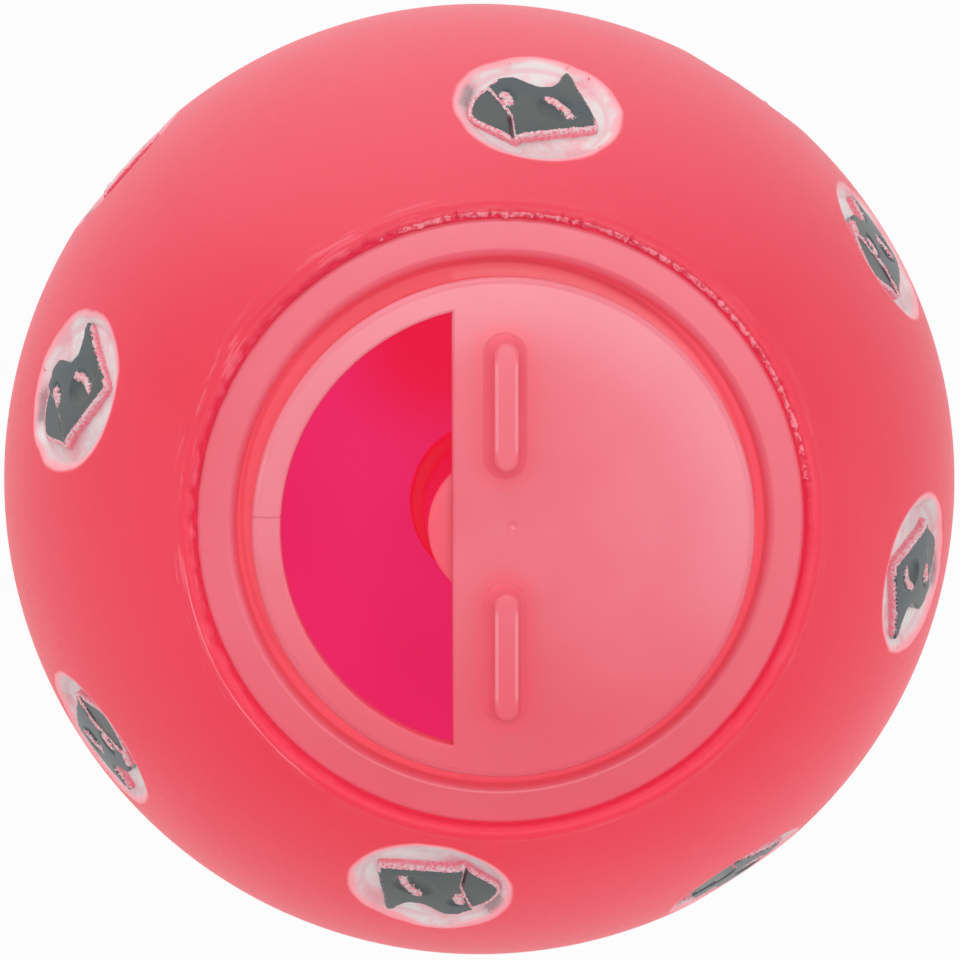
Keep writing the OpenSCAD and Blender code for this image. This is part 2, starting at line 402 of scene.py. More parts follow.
# Cast and moulded plastic is never quite even: a slow change of tone, a fine tooth that
# dulls the gloss, and a slight waviness
moulded, moulded_in, moulded_out = new_group(
    "moulded_plastic", {"Waves": 60.0, "Tooth": 2500.0}, ("Tone", "Height", "Tooth"))
place = put(moulded, "TexCoord").outputs["Object"]
slow = cloud(moulded, place, moulded_in.outputs["Waves"], 3.0)
tooth = cloud(moulded, place, moulded_in.outputs["Tooth"])
moulded.links.new(fade(moulded, slow, 0.3, 0.7), moulded_out.inputs["Tone"])
moulded.links.new(calc(moulded, "MULTIPLY_ADD", tooth, 0.2, slow), moulded_out.inputs["Height"])
moulded.links.new(tooth, moulded_out.inputs["Tooth"])

# Paint breaks up into specks where it is worn or where the spray ran thin
specks, specks_in, specks_out = new_group(
    "paint_specks", {"Amount": 0.5, "Size": 5000.0}, ("Mask",))
place = put(specks, "TexCoord").outputs["Object"]
fine = cloud(specks, place, specks_in.outputs["Size"], 2.0, 0.7)
level = calc(specks, "MULTIPLY_ADD", specks_in.outputs["Amount"], 1.1, fine)
level = calc(specks, "SUBTRACT", level, 1.05)
specks.links.new(fade(specks, level, -0.06, 0.06), specks_out.inputs["Mask"])


def group_node(tree, group, *values):
    """Places a node group in a material, with its inputs in order."""
    node = tree.nodes.new("ShaderNodeGroup")
    node.node_tree = group
    for socket, value in zip(node.inputs, values):
        if isinstance(value, bpy.types.NodeSocket):
            tree.links.new(value, socket)
        else:
            socket.default_value = value
    return node


def surface(name, constants):
    """A new material, with plain values set on its shader's own sockets."""
    material = bpy.data.materials.new(name)
    material.use_nodes = True
    shader = material.node_tree.nodes["Principled BSDF"]
    for socket, value in constants.items():
        shader.inputs[socket].default_value = value
    return material, material.node_tree, shader


def roughened(tree, shader, mask, extra, least):
    """Makes the surface rougher, from the least value upwards, where the mask is brighter."""
    tree.links.new(calc(tree, "MULTIPLY_ADD", mask, extra, least), shader.inputs["Roughness"])


def embossed(tree, shader, height, strength, depth):
    """Gives the surface a fine relief."""
    bump = put(tree, "Bump", strength, depth)
    tree.links.new(height, bump.inputs["Height"])
    tree.links.new(bump.outputs[0], shader.inputs["Normal"])


# Red light spreads furthest inside the plastics
light_spread = (1.0, 0.35, 0.35)
vinyl, tree, shader = surface(
    "coral_vinyl", {
        "IOR": 1.46, "Sheen Weight": 0.05, "Subsurface Weight": 0.35,
        "Subsurface Radius": light_spread, "Subsurface Scale": 0.9 * MM, "Emission Strength": 0.5
    })
plastic = group_node(tree, moulded, 45.0, 2600.0)
place = put(tree, "TexCoord").outputs["Object"]
axes = put(tree, "SeparateXYZ", place).outputs
flat = put(tree, "CombineXYZ", axes[0], axes[1]).outputs[0]
from_axis = calc(tree, "DIVIDE", put(tree, "VectorMath", flat, operation="LENGTH").outputs["Value"], MM)
side = put(tree, "VectorMath", flat, operation="NORMALIZE").outputs[0]
skin = mixed(tree, plastic.outputs["Tone"], screen_colour(229, 48, 75), screen_colour(233, 58, 85))
# Painted light: lighter towards the top, the side that the wide lamp falls on
towards_top = calc(tree, "MULTIPLY_ADD", cloud(tree, place, 60.0), 6 * MM, axes[1])
painted_top_light = fade(tree, towards_top, 8 * MM, 38 * MM)
skin = mixed(tree, product(tree, painted_top_light, 0.15), skin, screen_colour(240, 160, 170))

# Painted shade: a dull magenta in the crease around the flange and over the band of the turn
above = fade(tree, axes[2], seat_z, seat_z + 0.3 * MM)
wobble = cloud(tree, place, 500.0)
edge = calc(tree, "MULTIPLY_ADD", wobble, 0.5, calc(tree, "SUBTRACT", from_axis, 0.25))
turn_shade = product(tree, above, fade(tree, edge, turn_r / MM + 0.5, turn_r / MM + 0.1))
crease_shade = product(tree, above, fade(tree, edge, rim_r / MM + 0.30, rim_r / MM + 0.02))
skin = mixed(tree, product(tree, turn_shade, 0.35), skin, screen_colour(232, 52, 82))
skin = mixed(tree, crease_shade, skin, screen_colour(230, 54, 90))


def towards(tree, side, angle, start, end):
    """Fades in around the mouth's axis near one direction, given in degrees."""
    near = put(tree, "VectorMath", side, heading(angle), operation="DOT_PRODUCT")
    return fade(tree, near.outputs["Value"], start, end)


# Marks that the knife drew along the mouth, strongest at its left
along = put(tree, "VectorMath", side, (5.0, 5.0, 0.0), operation="MULTIPLY").outputs[0]
across = put(tree, "CombineXYZ", 0.0, 0.0, product(tree, from_axis, 2.6)).outputs[0]
trims = cloud(tree, put(tree, "VectorMath", along, across, operation="ADD").outputs[0], 1.0, 3.0)
rim_zone = product(tree, above, fade(tree, from_axis, turn_r / MM + 1.4, turn_r / MM + 0.5))
left_side = towards(tree, side, 155, 0.2, 0.8)
marked = product(tree, rim_zone, calc(tree, "MAXIMUM", left_side, 0.25))
pale_mark = product(tree, marked, fade(tree, trims, 0.54, 0.62))
dark_mark = product(tree, marked, fade(tree, trims, 0.43, 0.35))
skin = mixed(tree, product(tree, pale_mark, 0.36), skin, screen_colour(243, 128, 144))
skin = mixed(tree, product(tree, dark_mark, 0.6), skin, screen_colour(226, 46, 76))
# Painted highlight: one thin bright line along the ridge, low on the left
wavy = calc(tree, "MULTIPLY_ADD", trims, 0.5, from_axis)
off_highlight_line = calc(tree, "ABSOLUTE", calc(tree, "SUBTRACT", wavy, turn_r / MM + 0.55))
ridge_highlight = product(tree, fade(tree, off_highlight_line, 0.07, 0.02), towards(tree, side, 210, 0.90, 0.96), above)
skin = mixed(tree, product(tree, ridge_highlight, 0.6), skin, screen_colour(246, 154, 166))

# Whitened crumbs where the edge is torn, and dark specks of painted shade for its pits
torn = product(tree, towards(tree, side, torn_at, 0.40, 0.75), above,
               fade(tree, from_axis, rim_r / MM + 0.40, rim_r / MM + 0.12))
pit_shade = group_node(tree, specks, product(tree, torn, 0.46), 1700.0).outputs[0]
crumbs = group_node(tree, specks, product(tree, torn, 0.62), 2700.0).outputs[0]
skin = mixed(tree, product(tree, crumbs, 0.75), skin, screen_colour(252, 164, 176))
skin = mixed(tree, product(tree, pit_shade, 0.8), skin, screen_colour(216, 36, 78))

# Paint sprayed into the dishes through a mask: off-white on floor and wall, thinning out
# to a pearly pink over the rim
dish_place = put(tree, "Attribute", attribute_name="dish_at").outputs["Vector"]
in_dish = put(tree, "SeparateXYZ", dish_place).outputs
radius = in_dish[2]
thin = put(tree, "Attribute", attribute_name="thin_spray").outputs["Fac"]
drift = calc(tree, "SUBTRACT", cloud(tree, place, 260.0), 0.5)
spray_edge = calc(tree, "MULTIPLY_ADD", drift, 0.7, radius)
haze = product(tree, fade(tree, spray_edge, 5.66, 5.3), 0.9)
skin = mixed(tree, haze, skin, screen_colour(249, 178, 188))
cover = fade(tree, calc(tree, "MULTIPLY_ADD", drift, 1.2, radius), 5.3, 4.85)
streaks = fade(tree, cloud(tree, place, 420.0, 4.0, 0.6), 0.42, 0.68)
foot = product(tree, fade(tree, radius, 4.3, 4.5), fade(tree, radius, 4.9, 4.65))
streaks = calc(tree, "MAXIMUM", streaks, product(tree, foot, 0.5))
white = mixed(tree, streaks, screen_colour(236, 226, 226), screen_colour(243, 178, 188))
patches = fade(tree, cloud(tree, place, 330.0), 0.52, 0.60)
bare_thin = mixed(tree, patches, screen_colour(244, 146, 160), screen_colour(238, 214, 216))
white = mixed(tree, thin, white, bare_thin)
# Some grey went astray on the wall beside the far cheek and in dots beside the chin
stray = product(tree, fade(tree, in_dish[0], -3.9, -4.6), fade(tree, in_dish[1], 2.2, 0.6))
stray = product(tree, stray, fade(tree, in_dish[1], -2.2, -0.8))
dots = product(tree, fade(tree, in_dish[1], -2.2, -3.4), 0.27)
stray = calc(tree, "MAXIMUM", product(tree, stray, 0.62), dots)
dotted = group_node(tree, specks, stray, 6500.0).outputs[0]
stray = calc(tree, "MULTIPLY_ADD", dotted, 0.3, product(tree, stray, 0.55))
white = mixed(tree, stray, white, screen_colour(128, 96, 104))
skin = mixed(tree, cover, skin, white)
worn_rim = product(tree, fade(tree, radius, 4.8, 5.1), fade(tree, radius, 5.6, 5.3))
specked = group_node(tree, specks, product(tree, worn_rim, 0.33), 1500.0)
skin = mixed(tree, specked.outputs[0], skin, screen_colour(226, 52, 80))
tree.links.new(skin, shader.inputs["Base Color"])
# Painted glow: red light painted into the vinyl as if it came through, more towards the
# bottom, away from the lamps, and most in the narrow gap around the flange, lifting its shade
in_gap = product(tree, fade(tree, from_axis, turn_r / MM, rim_r / MM),
                 fade(tree, axes[2], turn_z + 0.2 * MM, seat_z + 0.3 * MM))
towards_bottom = fade(tree, axes[1], 26 * MM, -26 * MM)
painted_vinyl_glow = mixed(tree, towards_bottom, screen_colour(84, 8, 16), screen_colour(150, 8, 18))
painted_vinyl_glow = mixed(tree, cover, painted_vinyl_glow, (0, 0, 0, 1))
tree.links.new(mixed(tree, in_gap, painted_vinyl_glow, screen_colour(176, 40, 84)), shader.inputs["Emission Color"])
rough = calc(tree, "MULTIPLY_ADD", plastic.outputs["Tooth"], 0.16, 0.38)
roughened(tree, shader, cover, 0.12, rough)
relief = calc(tree, "ADD", product(tree, streaks, -0.4, cover), plastic.outputs["Height"])
relief = calc(tree, "ADD", product(tree, trims, 2.5, marked), relief)
embossed(tree, shader, relief, 0.35, 0.02 * MM)

# Inside, a painted glow stands for the light that comes through the vinyl: magenta, and
# redder as a painted shadow of the dial's solid half, where it shows at the window's upper end
glow, tree, shader = surface("vinyl_inside", {"IOR": 1.45, "Emission Strength": 0.8})
place = put(tree, "TexCoord").outputs["Object"]
plastic = group_node(tree, moulded, 40.0, 2200.0)
shadow_spot = Vector((-1.3, 9.6, -31)) * MM
from_spot = put(tree, "VectorMath", place, shadow_spot, operation="DISTANCE").outputs["Value"]
painted_shadow = product(tree, fade(tree, from_spot, 12 * MM, 3 * MM), 0.8)
skin = mixed(tree, plastic.outputs["Tone"], screen_colour(226, 40, 100), screen_colour(232, 46, 108))
skin = mixed(tree, painted_shadow, skin, screen_colour(230, 28, 56))
tree.links.new(mixed(tree, 0.75, skin, (0, 0, 0, 1)), shader.inputs["Base Color"])
tree.links.new(skin, shader.inputs["Emission Color"])
roughened(tree, shader, plastic.outputs["Tooth"], 0.2, 0.4)

# The inside is all that lies well under the outer skin and below the sleeve's end
ball_skin.data.materials.append(vinyl)
ball_skin.data.materials.append(glow)
for polygon in ball_skin.data.polygons:
    if polygon.center.length < ball_r - 1.0 * MM and polygon.center.z < sleeve_z + 0.1 * MM:
        polygon.material_index = 1

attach(ball_skin, "ball")
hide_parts("ball_shell")

# The cat heads stand up from the dishes' floors. They are cast in one with the skin and
# sprayed dark grey through a mask, and the paint is worn off their edges and pupils.
head_drop = 0.15 * MM
cheek_drop = 0.35 * MM
crack_w = 0.2 * MM
crack_depth = 0.6 * MM
eye_depth = 0.35 * MM
head_foot_z = dish_floor_z - 0.45 * MM
head_reach = 2 * dish_depth
head_voxel = 0.095 * MM

# Shares of the dish's radius: a head's outline over the rounded ear, the dip, the pointed
# ear, the near cheek, the chin and the far cheek, then the crack's line, and the corners
# that close a block around the far cheek with it
head_outline_shares = [
    (-0.66, 0.25), (-0.57, 0.41), (-0.42, 0.48), (-0.26, 0.44), (-0.08, 0.38), (0.06, 0.44),
    (0.13, 0.56), (0.15, 0.72), (0.19, 0.85), (0.28, 0.76), (0.40, 0.53), (0.58, 0.24),
    (0.76, -0.07), (0.72, -0.16), (0.49, -0.31), (0.20, -0.48), (-0.06, -0.62),
    (-0.12, -0.71), (-0.35, -0.62), (-0.74, -0.45), (-0.81, -0.16), (-0.76, 0.08)
]
crack_shares = [(-0.72, 0.24), (-0.46, -0.05), (-0.27, -0.30), (-0.12, -0.75)]
cheek_corner_shares = [(-0.90, -0.75), (-0.90, 0.22)]
# For each eye, the middle and the half sizes of its dent, the line that the raised pupil
# runs along, and the pupil's half width
eyes = [
    ((0.24, 0.0), (0.27, 0.22), [(0.10, 0.16), (0.21, 0.13), (0.33, 0.04), (0.41, -0.07)], 0.07),
    ((-0.40, 0.01), (0.15, 0.20), [(-0.43, 0.07), (-0.38, 0.01), (-0.36, -0.06)], 0.085)
]


def smooth_loop(shares, scale, steps=4):
    """A closed smooth line through points given in shares."""
    points = [Vector(share) * scale for share in shares]
    line = []
    for i, start in enumerate(points):
        before, end, after = points[i - 1], points[(i + 1) % len(points)], points[(i + 2) % len(points)]
        for k in range(steps):
            t = k / steps
            line.append(0.5 * (
                2 * start + t * (end - before) + t * t * (2 * before - 5 * start + 4 * end - after)
                + t ** 3 * (3 * start - before - 3 * end + after)
            ))
    return line


def prism(name, line, low, high):
    """Draws a closed line point by point and raises it from one height to another."""
    bpy.ops.object.select_all(action="DESELECT")
    bpy.ops.mesh.primitive_plane_add(size=MM)
    piece = bpy.context.active_object
    piece.name = piece.data.name = name
    bpy.ops.object.mode_set(mode="EDIT")
    bpy.ops.mesh.merge(type="CENTER")
    bpy.ops.transform.translate(value=(line[0].x, line[0].y, low))
    for a, b in zip(line, line[1:] + line[:1]):
        bpy.ops.mesh.extrude_vertices_move(TRANSFORM_OT_translate={"value": (b.x - a.x, b.y - a.y, 0)})
    bpy.ops.mesh.select_all(action="SELECT")
    bpy.ops.mesh.remove_doubles(threshold=hair)
    bpy.ops.mesh.edge_face_add()
    bpy.ops.mesh.extrude_region_move(TRANSFORM_OT_translate={"value": (0, 0, high - low)})
    return finished(piece)


def cut(piece, cutter, operation="DIFFERENCE"):
    """Cuts one piece with another, or joins the two into one solid."""
    pick(piece)
    modifier = piece.modifiers.new("cut", "BOOLEAN")
    modifier.operation = operation
    modifier.object = cutter
    bpy.ops.object.modifier_apply(modifier="cut")
    bpy.data.objects.remove(cutter)


def ball_cutter(radius):
    """A fine ball about the origin."""
    bpy.ops.object.select_all(action="DESELECT")
    bpy.ops.mesh.primitive_ico_sphere_add(subdivisions=6, radius=radius)
    return bpy.context.active_object


def blob(place, half_w, half_h, half_d):
    """A small rounded lump."""
    bpy.ops.object.select_all(action="DESELECT")
    bpy.ops.mesh.primitive_uv_sphere_add(segments=24, ring_count=12, radius=1, location=place)
    bpy.ops.transform.resize(value=(half_w, half_h, half_d))
    return bpy.context.active_object


head_outline = smooth_loop(head_outline_shares, dish_r)
crack = [Vector(share) * dish_r for share in crack_shares]
cheek = crack + [Vector(share) * dish_r for share in cheek_corner_shares]
trench = crack + [point - Vector((crack_w, 0)) for point in reversed(crack)]
face_z = ball_r - head_drop

head = prism("cat_head", head_outline, head_foot_z, head_foot_z + head_reach)
cut(head, ball_cutter(face_z), "INTERSECT")
cheek_block = prism("far_cheek", cheek, dish_floor_z, dish_floor_z + head_reach)
cut(cheek_block, ball_cutter(ball_r - cheek_drop))
cut(head, cheek_block)
cut(head, prism("crack", trench, face_z - crack_depth, dish_floor_z + head_reach))
pupils = []
for middle, (half_w, half_h), line, half_line in eyes:
    eye = Vector((*middle, 0)) * dish_r + Vector((0, 0, face_z))
    cut(head, blob(eye, half_w * dish_r, half_h * dish_r, eye_depth))
    line = [Vector(share) * dish_r for share in line]
    pupil_r = half_line * dish_r
    pupils.append((line, pupil_r))
    for a, b in zip(line, line[1:]):
        for spot in (a, (a + b) / 2, b):
            place = (*spot, eye.z - 0.8 * eye_depth)
            cut(head, blob(place, pupil_r, pupil_r, 0.75 * eye_depth), "UNION")

pick(head)
remesh = head.modifiers.new("remesh", "REMESH")
remesh.mode = "VOXEL"
remesh.voxel_size = head_voxel
remesh.use_smooth_shade = True
bpy.ops.object.modifier_apply(modifier="remesh")
soften = head.modifiers.new("soften", "SMOOTH")
soften.factor = 0.5
soften.iterations = 2
bpy.ops.object.modifier_apply(modifier="soften")


def line_gap(point, line, closed=False):
    """Distance from a point to a line of points, and which way the line's left side faces."""
    ends = line[1:] + line[:1] if closed else line[1:]
    best = (math.inf, None)
    for a, b in zip(line, ends):
        along = (b - a).normalized()
        t = min(max((point - a).dot(along), 0), (b - a).length)
        best = min(best, ((point - a - along * t).length, along.x))
    return best


# How far the grey paint is missing: on the pupils and on all walls but those between the
# ears, and less and less away from these edges and from the crack. The second mark is 1 on
# the walls, a lighter grey there as painted highlight, and -1 deep in the crack, a dark
# maroon there as painted shade.
wear, wall_light_crack_shade = [], []
for vertex in head.data.vertices:
    flat = vertex.co.xy
    depth = face_z - vertex.co.length
    edge_gap, up_side = line_gap(flat, head_outline, closed=True)
    bare_side = min(max((0.72 - up_side) / 0.2, 0), 1)
    fuzz = 0.55 if flat.x > 0 and flat.y > 0 else 1.0
    worn = bare_side * fuzz * max(0.95 - edge_gap / (0.5 * MM), 0)
    on_wall = depth > 0.13 * MM and edge_gap < 0.26 * MM
    if on_wall:
        worn = max(worn, 1.25 * bare_side)
    crack_gap = line_gap(flat, crack)[0]
    if depth < 0.2 * MM:
        worn = max(worn, 0.8 - 0.8 * crack_gap / (0.17 * MM))
    if depth < 0.33 * MM:
        for line, pupil_r in pupils:
            worn = max(worn, 0.70 - 0.34 * (line_gap(flat, line)[0] / pupil_r) ** 2)
    in_crack = depth > 0.25 * MM and crack_gap < 2 * crack_w and not on_wall
    wear.append(min(max(worn, 0), 1.1))
    wall_light_crack_shade.append(-1.0 if in_crack else float(on_wall))
head.data.attributes.new("wear", "FLOAT", "POINT").data.foreach_set("value", wear)
head.data.attributes.new("wall_light_crack_shade", "FLOAT", "POINT").data.foreach_set("value", wall_light_crack_shade)
# Where the paint is gone, the surface is a little uneven
chip_h = 0.05 * MM
chip_w = 0.22 * MM
for vertex, worn in zip(head.data.vertices, wear):
    rise = chip_h * min(worn, 1) * noise.noise(vertex.co / chip_w)
    vertex.co += vertex.co.normalized() * rise

grey_paint, tree, shader = surface(
    "grey_paint", {"IOR": 1.45, "Coat Weight": 0.1, "Coat Roughness": 0.3})
place = put(tree, "TexCoord").outputs["Object"]
worn = put(tree, "Attribute", attribute_name="wear").outputs["Fac"]
tone = fade(tree, cloud(tree, place, 260.0, 3.0), 0.35, 0.65)
grey = mixed(tree, tone, screen_colour(66, 76, 82), screen_colour(79, 83, 81))
# Painted highlight: lighter grey on the walls; painted shade: dark maroon deep in the crack
wall_light_crack_shade = put(tree, "Attribute", attribute_name="wall_light_crack_shade").outputs["Fac"]
grey = mixed(tree, wall_light_crack_shade, grey, screen_colour(150, 160, 158))
grey = mixed(tree, product(tree, wall_light_crack_shade, -1.0), grey, screen_colour(116, 84, 92))
mask = group_node(tree, specks, worn, 6000.0).outputs[0]
patch = fade(tree, cloud(tree, place, 4800.0), 0.40, 0.66)
bare = mixed(tree, patch, screen_colour(229, 200, 204), screen_colour(236, 126, 145))
# Halfway down the walls the bare vinyl shows pink
reach = put(tree, "VectorMath", place, operation="LENGTH").outputs["Value"]
half_down = product(tree, fade(tree, reach, dish_floor_z + 0.05 * MM, dish_floor_z + 0.3 * MM),
                    fade(tree, reach, face_z - 0.15 * MM, face_z - 0.4 * MM))
bare = mixed(tree, product(tree, half_down, 0.7), bare, screen_colour(240, 112, 134))
bare = mixed(tree, group_node(tree, specks, 0.32, 3400.0).outputs[0], bare, screen_colour(230, 70, 96))
tree.links.new(mixed(tree, mask, grey, bare), shader.inputs["Base Color"])
roughened(tree, shader, mask, 0.2, 0.42)
grain = calc(tree, "MULTIPLY_ADD", mask, 0.8, cloud(tree, place, 3800.0))
embossed(tree, shader, grain, 0.5, 0.02 * MM)
head.data.materials.append(grey_paint)

# The heads nearest the ball's middle belt, which the spray only dusted
dusted_paint, tree, shader = surface("dusted_paint", {"IOR": 1.45, "Coat Weight": 0.05})
place = put(tree, "TexCoord").outputs["Object"]
worn = put(tree, "Attribute", attribute_name="wear").outputs["Fac"]
patches = fade(tree, cloud(tree, place, 330.0), 0.52, 0.60)
dusted = mixed(tree, patches, screen_colour(242, 138, 154), screen_colour(236, 212, 214))
mask = group_node(tree, specks, product(tree, worn, 0.6), 4200.0).outputs[0]
tree.links.new(mixed(tree, mask, dusted, screen_colour(232, 72, 96)), shader.inputs["Base Color"])
roughened(tree, shader, patches, 0.15, 0.42)
embossed(tree, shader, cloud(tree, place, 3800.0), 0.5, 0.02 * MM)

for i, place in enumerate(medallions):
    cat_head = placed_copy(head, f"cat_head_{i + 1:02d}", place)
    if i >= first_thin:
        cat_head.data.materials[0] = dusted_paint
    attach(cat_head, "ball")
bpy.data.objects.remove(head)

# The cap is one stiff plastic moulding, snapped into the mouth: a flange, a well for the
# dial, half a floor under it and the hub tube that the dial's post runs in.
cap_wall = 1.1 * MM
flange_w = 2.55 * MM
well_depth = 3.8 * MM
well_r = flange_r - flange_w
well_z = flange_z - well_depth
neck_r = well_r + cap_wall
bead_out = 0.7 * MM
bead_r = neck_r + bead_out
bead_h = 0.9 * MM
dial_low, dial_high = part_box("dial_disc")
dial_axis = ((dial_low.x + dial_high.x) / 2, (dial_low.y + dial_high.y) / 2)
dial_r = (dial_high.x - dial_low.x) / 2
dial_rise = 1.0 * MM
dial_z = flange_z + dial_rise
plate_t = 1.2 * MM
plate_z = dial_z - plate_t
# Gap between the dial and the half floor, below it and around it
slide_gap = 0.3 * MM
floor_z = plate_z - slide_gap
hub_bore_r = 3.0 * MM
hub_r = 4.8 * MM
hub_length = 13.6 * MM
hub_z = floor_z - hub_length
skirt_wall = 1.15 * MM
skirt_r = dial_r - skirt_wall
half_floor_r = skirt_r - slide_gap
window_chord = 3.3 * MM
ledge_r = dial_r - cap_wall / 2

cap = finished(turned("cap", rounded([
    (ledge_r, well_z - cap_wall, 0), (well_r, well_z - cap_wall, 0.15 * MM),
    (well_r, sleeve_z - bead_h, 0.15 * MM), (neck_r, sleeve_z - bead_h, 0.15 * MM),
    (bead_r, sleeve_z - bead_h / 2, 0.1 * MM), (bead_r, sleeve_z - bead_h / 4, 0.1 * MM),
    (neck_r, sleeve_z, 0.05 * MM), (neck_r, seat_z, 0.05 * MM), (flange_r, seat_z, 0.1 * MM),
    (flange_r, flange_z, 0.3 * MM), (well_r, flange_z, 0.65 * MM), (well_r, well_z, 0.3 * MM),
    (ledge_r, well_z, 0), (ledge_r, well_z - cap_wall, 0)
]), 256))

half_floor = turned("half_floor", rounded([
    (0, floor_z, 0), (half_floor_r, floor_z, 0.3 * MM), (half_floor_r, well_z, 0.3 * MM),
    (well_r - cap_wall / 2, well_z, 0), (well_r - cap_wall / 2, well_z - cap_wall, 0),
    (half_floor_r - cap_wall, well_z - cap_wall, 0.3 * MM),
    (half_floor_r - cap_wall, floor_z - cap_wall, 0.3 * MM), (0, floor_z - cap_wall, 0)
]), 128, dial_axis)
floor_edge = Vector((dial_axis[0] - window_chord + slide_gap, 0, 0))
bpy.ops.mesh.select_all(action="SELECT")
bpy.ops.mesh.bisect(
    plane_co=floor_edge, plane_no=(-1, 0, 0), clear_outer=True, use_fill=True,
    threshold=hair)
cut(cap, finished(half_floor), "UNION")

hub_top_z = floor_z - 20 * hair
hub_inside_r = hub_bore_r - 0.5 * MM
hub = finished(turned("hub", rounded([
    (hub_inside_r, hub_top_z, 0), (hub_r, hub_top_z, 0.2 * MM), (hub_r, hub_z, 0.3 * MM),
    (hub_inside_r, hub_z, 0), (hub_inside_r, hub_top_z, 0)
]), 96, dial_axis))
cut(cap, hub, "UNION")
bpy.ops.object.select_all(action="DESELECT")
bpy.ops.mesh.primitive_cylinder_add(
    vertices=96, radius=hub_bore_r, depth=2 * (floor_z - hub_z),
    location=(*dial_axis, (floor_z + hub_z) / 2))
cut(cap, bpy.context.active_object)
bpy.ops.object.shade_smooth_by_angle(angle=math.radians(40))


def even_shading(piece):
    """Makes the large flat faces of a finished piece shade as flat, after its cuts."""
    pick(piece)
    weighted = piece.modifiers.new("weighted", "WEIGHTED_NORMAL")
    weighted.weight = 100
    weighted.keep_sharp = True
    bpy.ops.object.modifier_apply(modifier="weighted")


def only_material(piece, material):
    """Gives a piece one material, also where its cutters brought in others."""
    piece.data.materials.clear()
    piece.data.materials.append(material)
    for polygon in piece.data.polygons:
        polygon.material_index = 0


even_shading(cap)
cap_plastic, tree, shader = surface(
    "coral_plastic", {
        "IOR": 1.48, "Subsurface Weight": 0.35, "Subsurface Radius": light_spread,
        "Subsurface Scale": 0.7 * MM, "Emission Strength": 1.0
    })
plastic = group_node(tree, moulded, 55.0, 1800.0)
place = put(tree, "TexCoord").outputs["Object"]
axes = put(tree, "SeparateXYZ", place).outputs
# Painted shade: the flange darker towards the bottom, and the sunken places below its face redder
flange = mixed(
    tree, plastic.outputs["Tone"], screen_colour(237, 98, 117), screen_colour(240, 110, 129))
sunk_shade = fade(tree, axes[2], flange_z - 0.05 * MM, flange_z - 0.9 * MM)
deep = fade(tree, axes[2], well_z - 1.5 * MM, well_z - 5 * MM)
lower_shade = product(tree, fade(tree, axes[1], -5 * MM, -20 * MM), 0.4)
flange = mixed(tree, lower_shade, flange, screen_colour(233, 72, 92))
body = mixed(tree, sunk_shade, flange, screen_colour(232, 60, 78))
body = mixed(tree, deep, body, screen_colour(237, 115, 129))
centred = put(tree, "VectorMath", place, (*dial_axis, 0), operation="SUBTRACT").outputs[0]
off_axis = axis_distance(tree, centred)
# Painted shade: the hub's side deep red
hub_side_shade = product(tree, fade(tree, off_axis, hub_r + 0.4 * MM, hub_r + 0.1 * MM),
                   fade(tree, axes[2], floor_z - 0.1 * MM, floor_z - 0.3 * MM))
body = mixed(tree, hub_side_shade, body, screen_colour(190, 20, 48))
groove = calc(tree, "SUBTRACT", sunk_shade, deep)
# Painted highlight: the groove lighter towards the right and the bottom, where its rounded edge catches
# the light
groove_highlight = calc(tree, "MAXIMUM", fade(tree, axes[0], 6 * MM, 14 * MM),
             fade(tree, axes[1], -6 * MM, -14 * MM))
body = mixed(tree, product(tree, groove, groove_highlight, 0.6), body, screen_colour(242, 126, 136))
tree.links.new(body, shader.inputs["Base Color"])
# Painted glow: a little light painted into the groove around the dial, weaker towards the top, and,
# darker, into the hub's side
shaded = calc(tree, "MULTIPLY_ADD", fade(tree, axes[1], 9 * MM, 15 * MM), -0.25, 1.0)
painted_glow = mixed(tree, product(tree, groove, shaded), (0, 0, 0, 1), screen_colour(132, 68, 80))
painted_glow = mixed(tree, hub_side_shade, painted_glow, screen_colour(142, 12, 34))
tree.links.new(painted_glow, shader.inputs["Emission Color"])
roughened(tree, shader, plastic.outputs["Tooth"], 0.04, 0.28)
embossed(tree, shader, plastic.outputs["Height"], 0.2, 0.002 * MM)
only_material(cap, cap_plastic)

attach(cap, "ball")
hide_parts("cap_body")

# The dial is one plastic moulding. Two ribs on its face are pinched to turn it, its post
# runs in the hub, and a skirt under its rim goes round in the well.
window_edge_w = 1.8 * MM
window_r = dial_r - window_edge_w
window_round = 0.18 * MM
skirt_gap = 0.9 * MM
skirt_z = well_z + skirt_gap
post_gap = 0.05 * MM
post_r = hub_bore_r - post_gap
post_z = hub_z - 0.3 * MM
stud_r = 2.0 * MM
pivot_low, pivot_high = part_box("pivot_cap")
pivot_floor_t = 0.6 * MM
pivot_floor_z = pivot_low.z + pivot_floor_t
rib_length = 8.8 * MM
rib_w = 2.35 * MM
rib_top_w = 1.45 * MM
rib_h = 1.7 * MM
rib_gap = 6.8 * MM
rib_foot = 0.35 * MM
rib_root = 0.4 * MM

dial = finished(turned("dial", rounded([
    (0, dial_z, 0), (dial_r, dial_z, 0.45 * MM), (dial_r, skirt_z, 0.2 * MM),
    (skirt_r, skirt_z, 0.2 * MM), (skirt_r, plate_z, 0.3 * MM), (post_r, plate_z, 0.3 * MM),
    (post_r, post_z, 0.2 * MM), (stud_r, post_z, 0.1 * MM), (stud_r, pivot_floor_z, 0.2 * MM),
    (0, pivot_floor_z, 0)
]), 256, dial_axis))

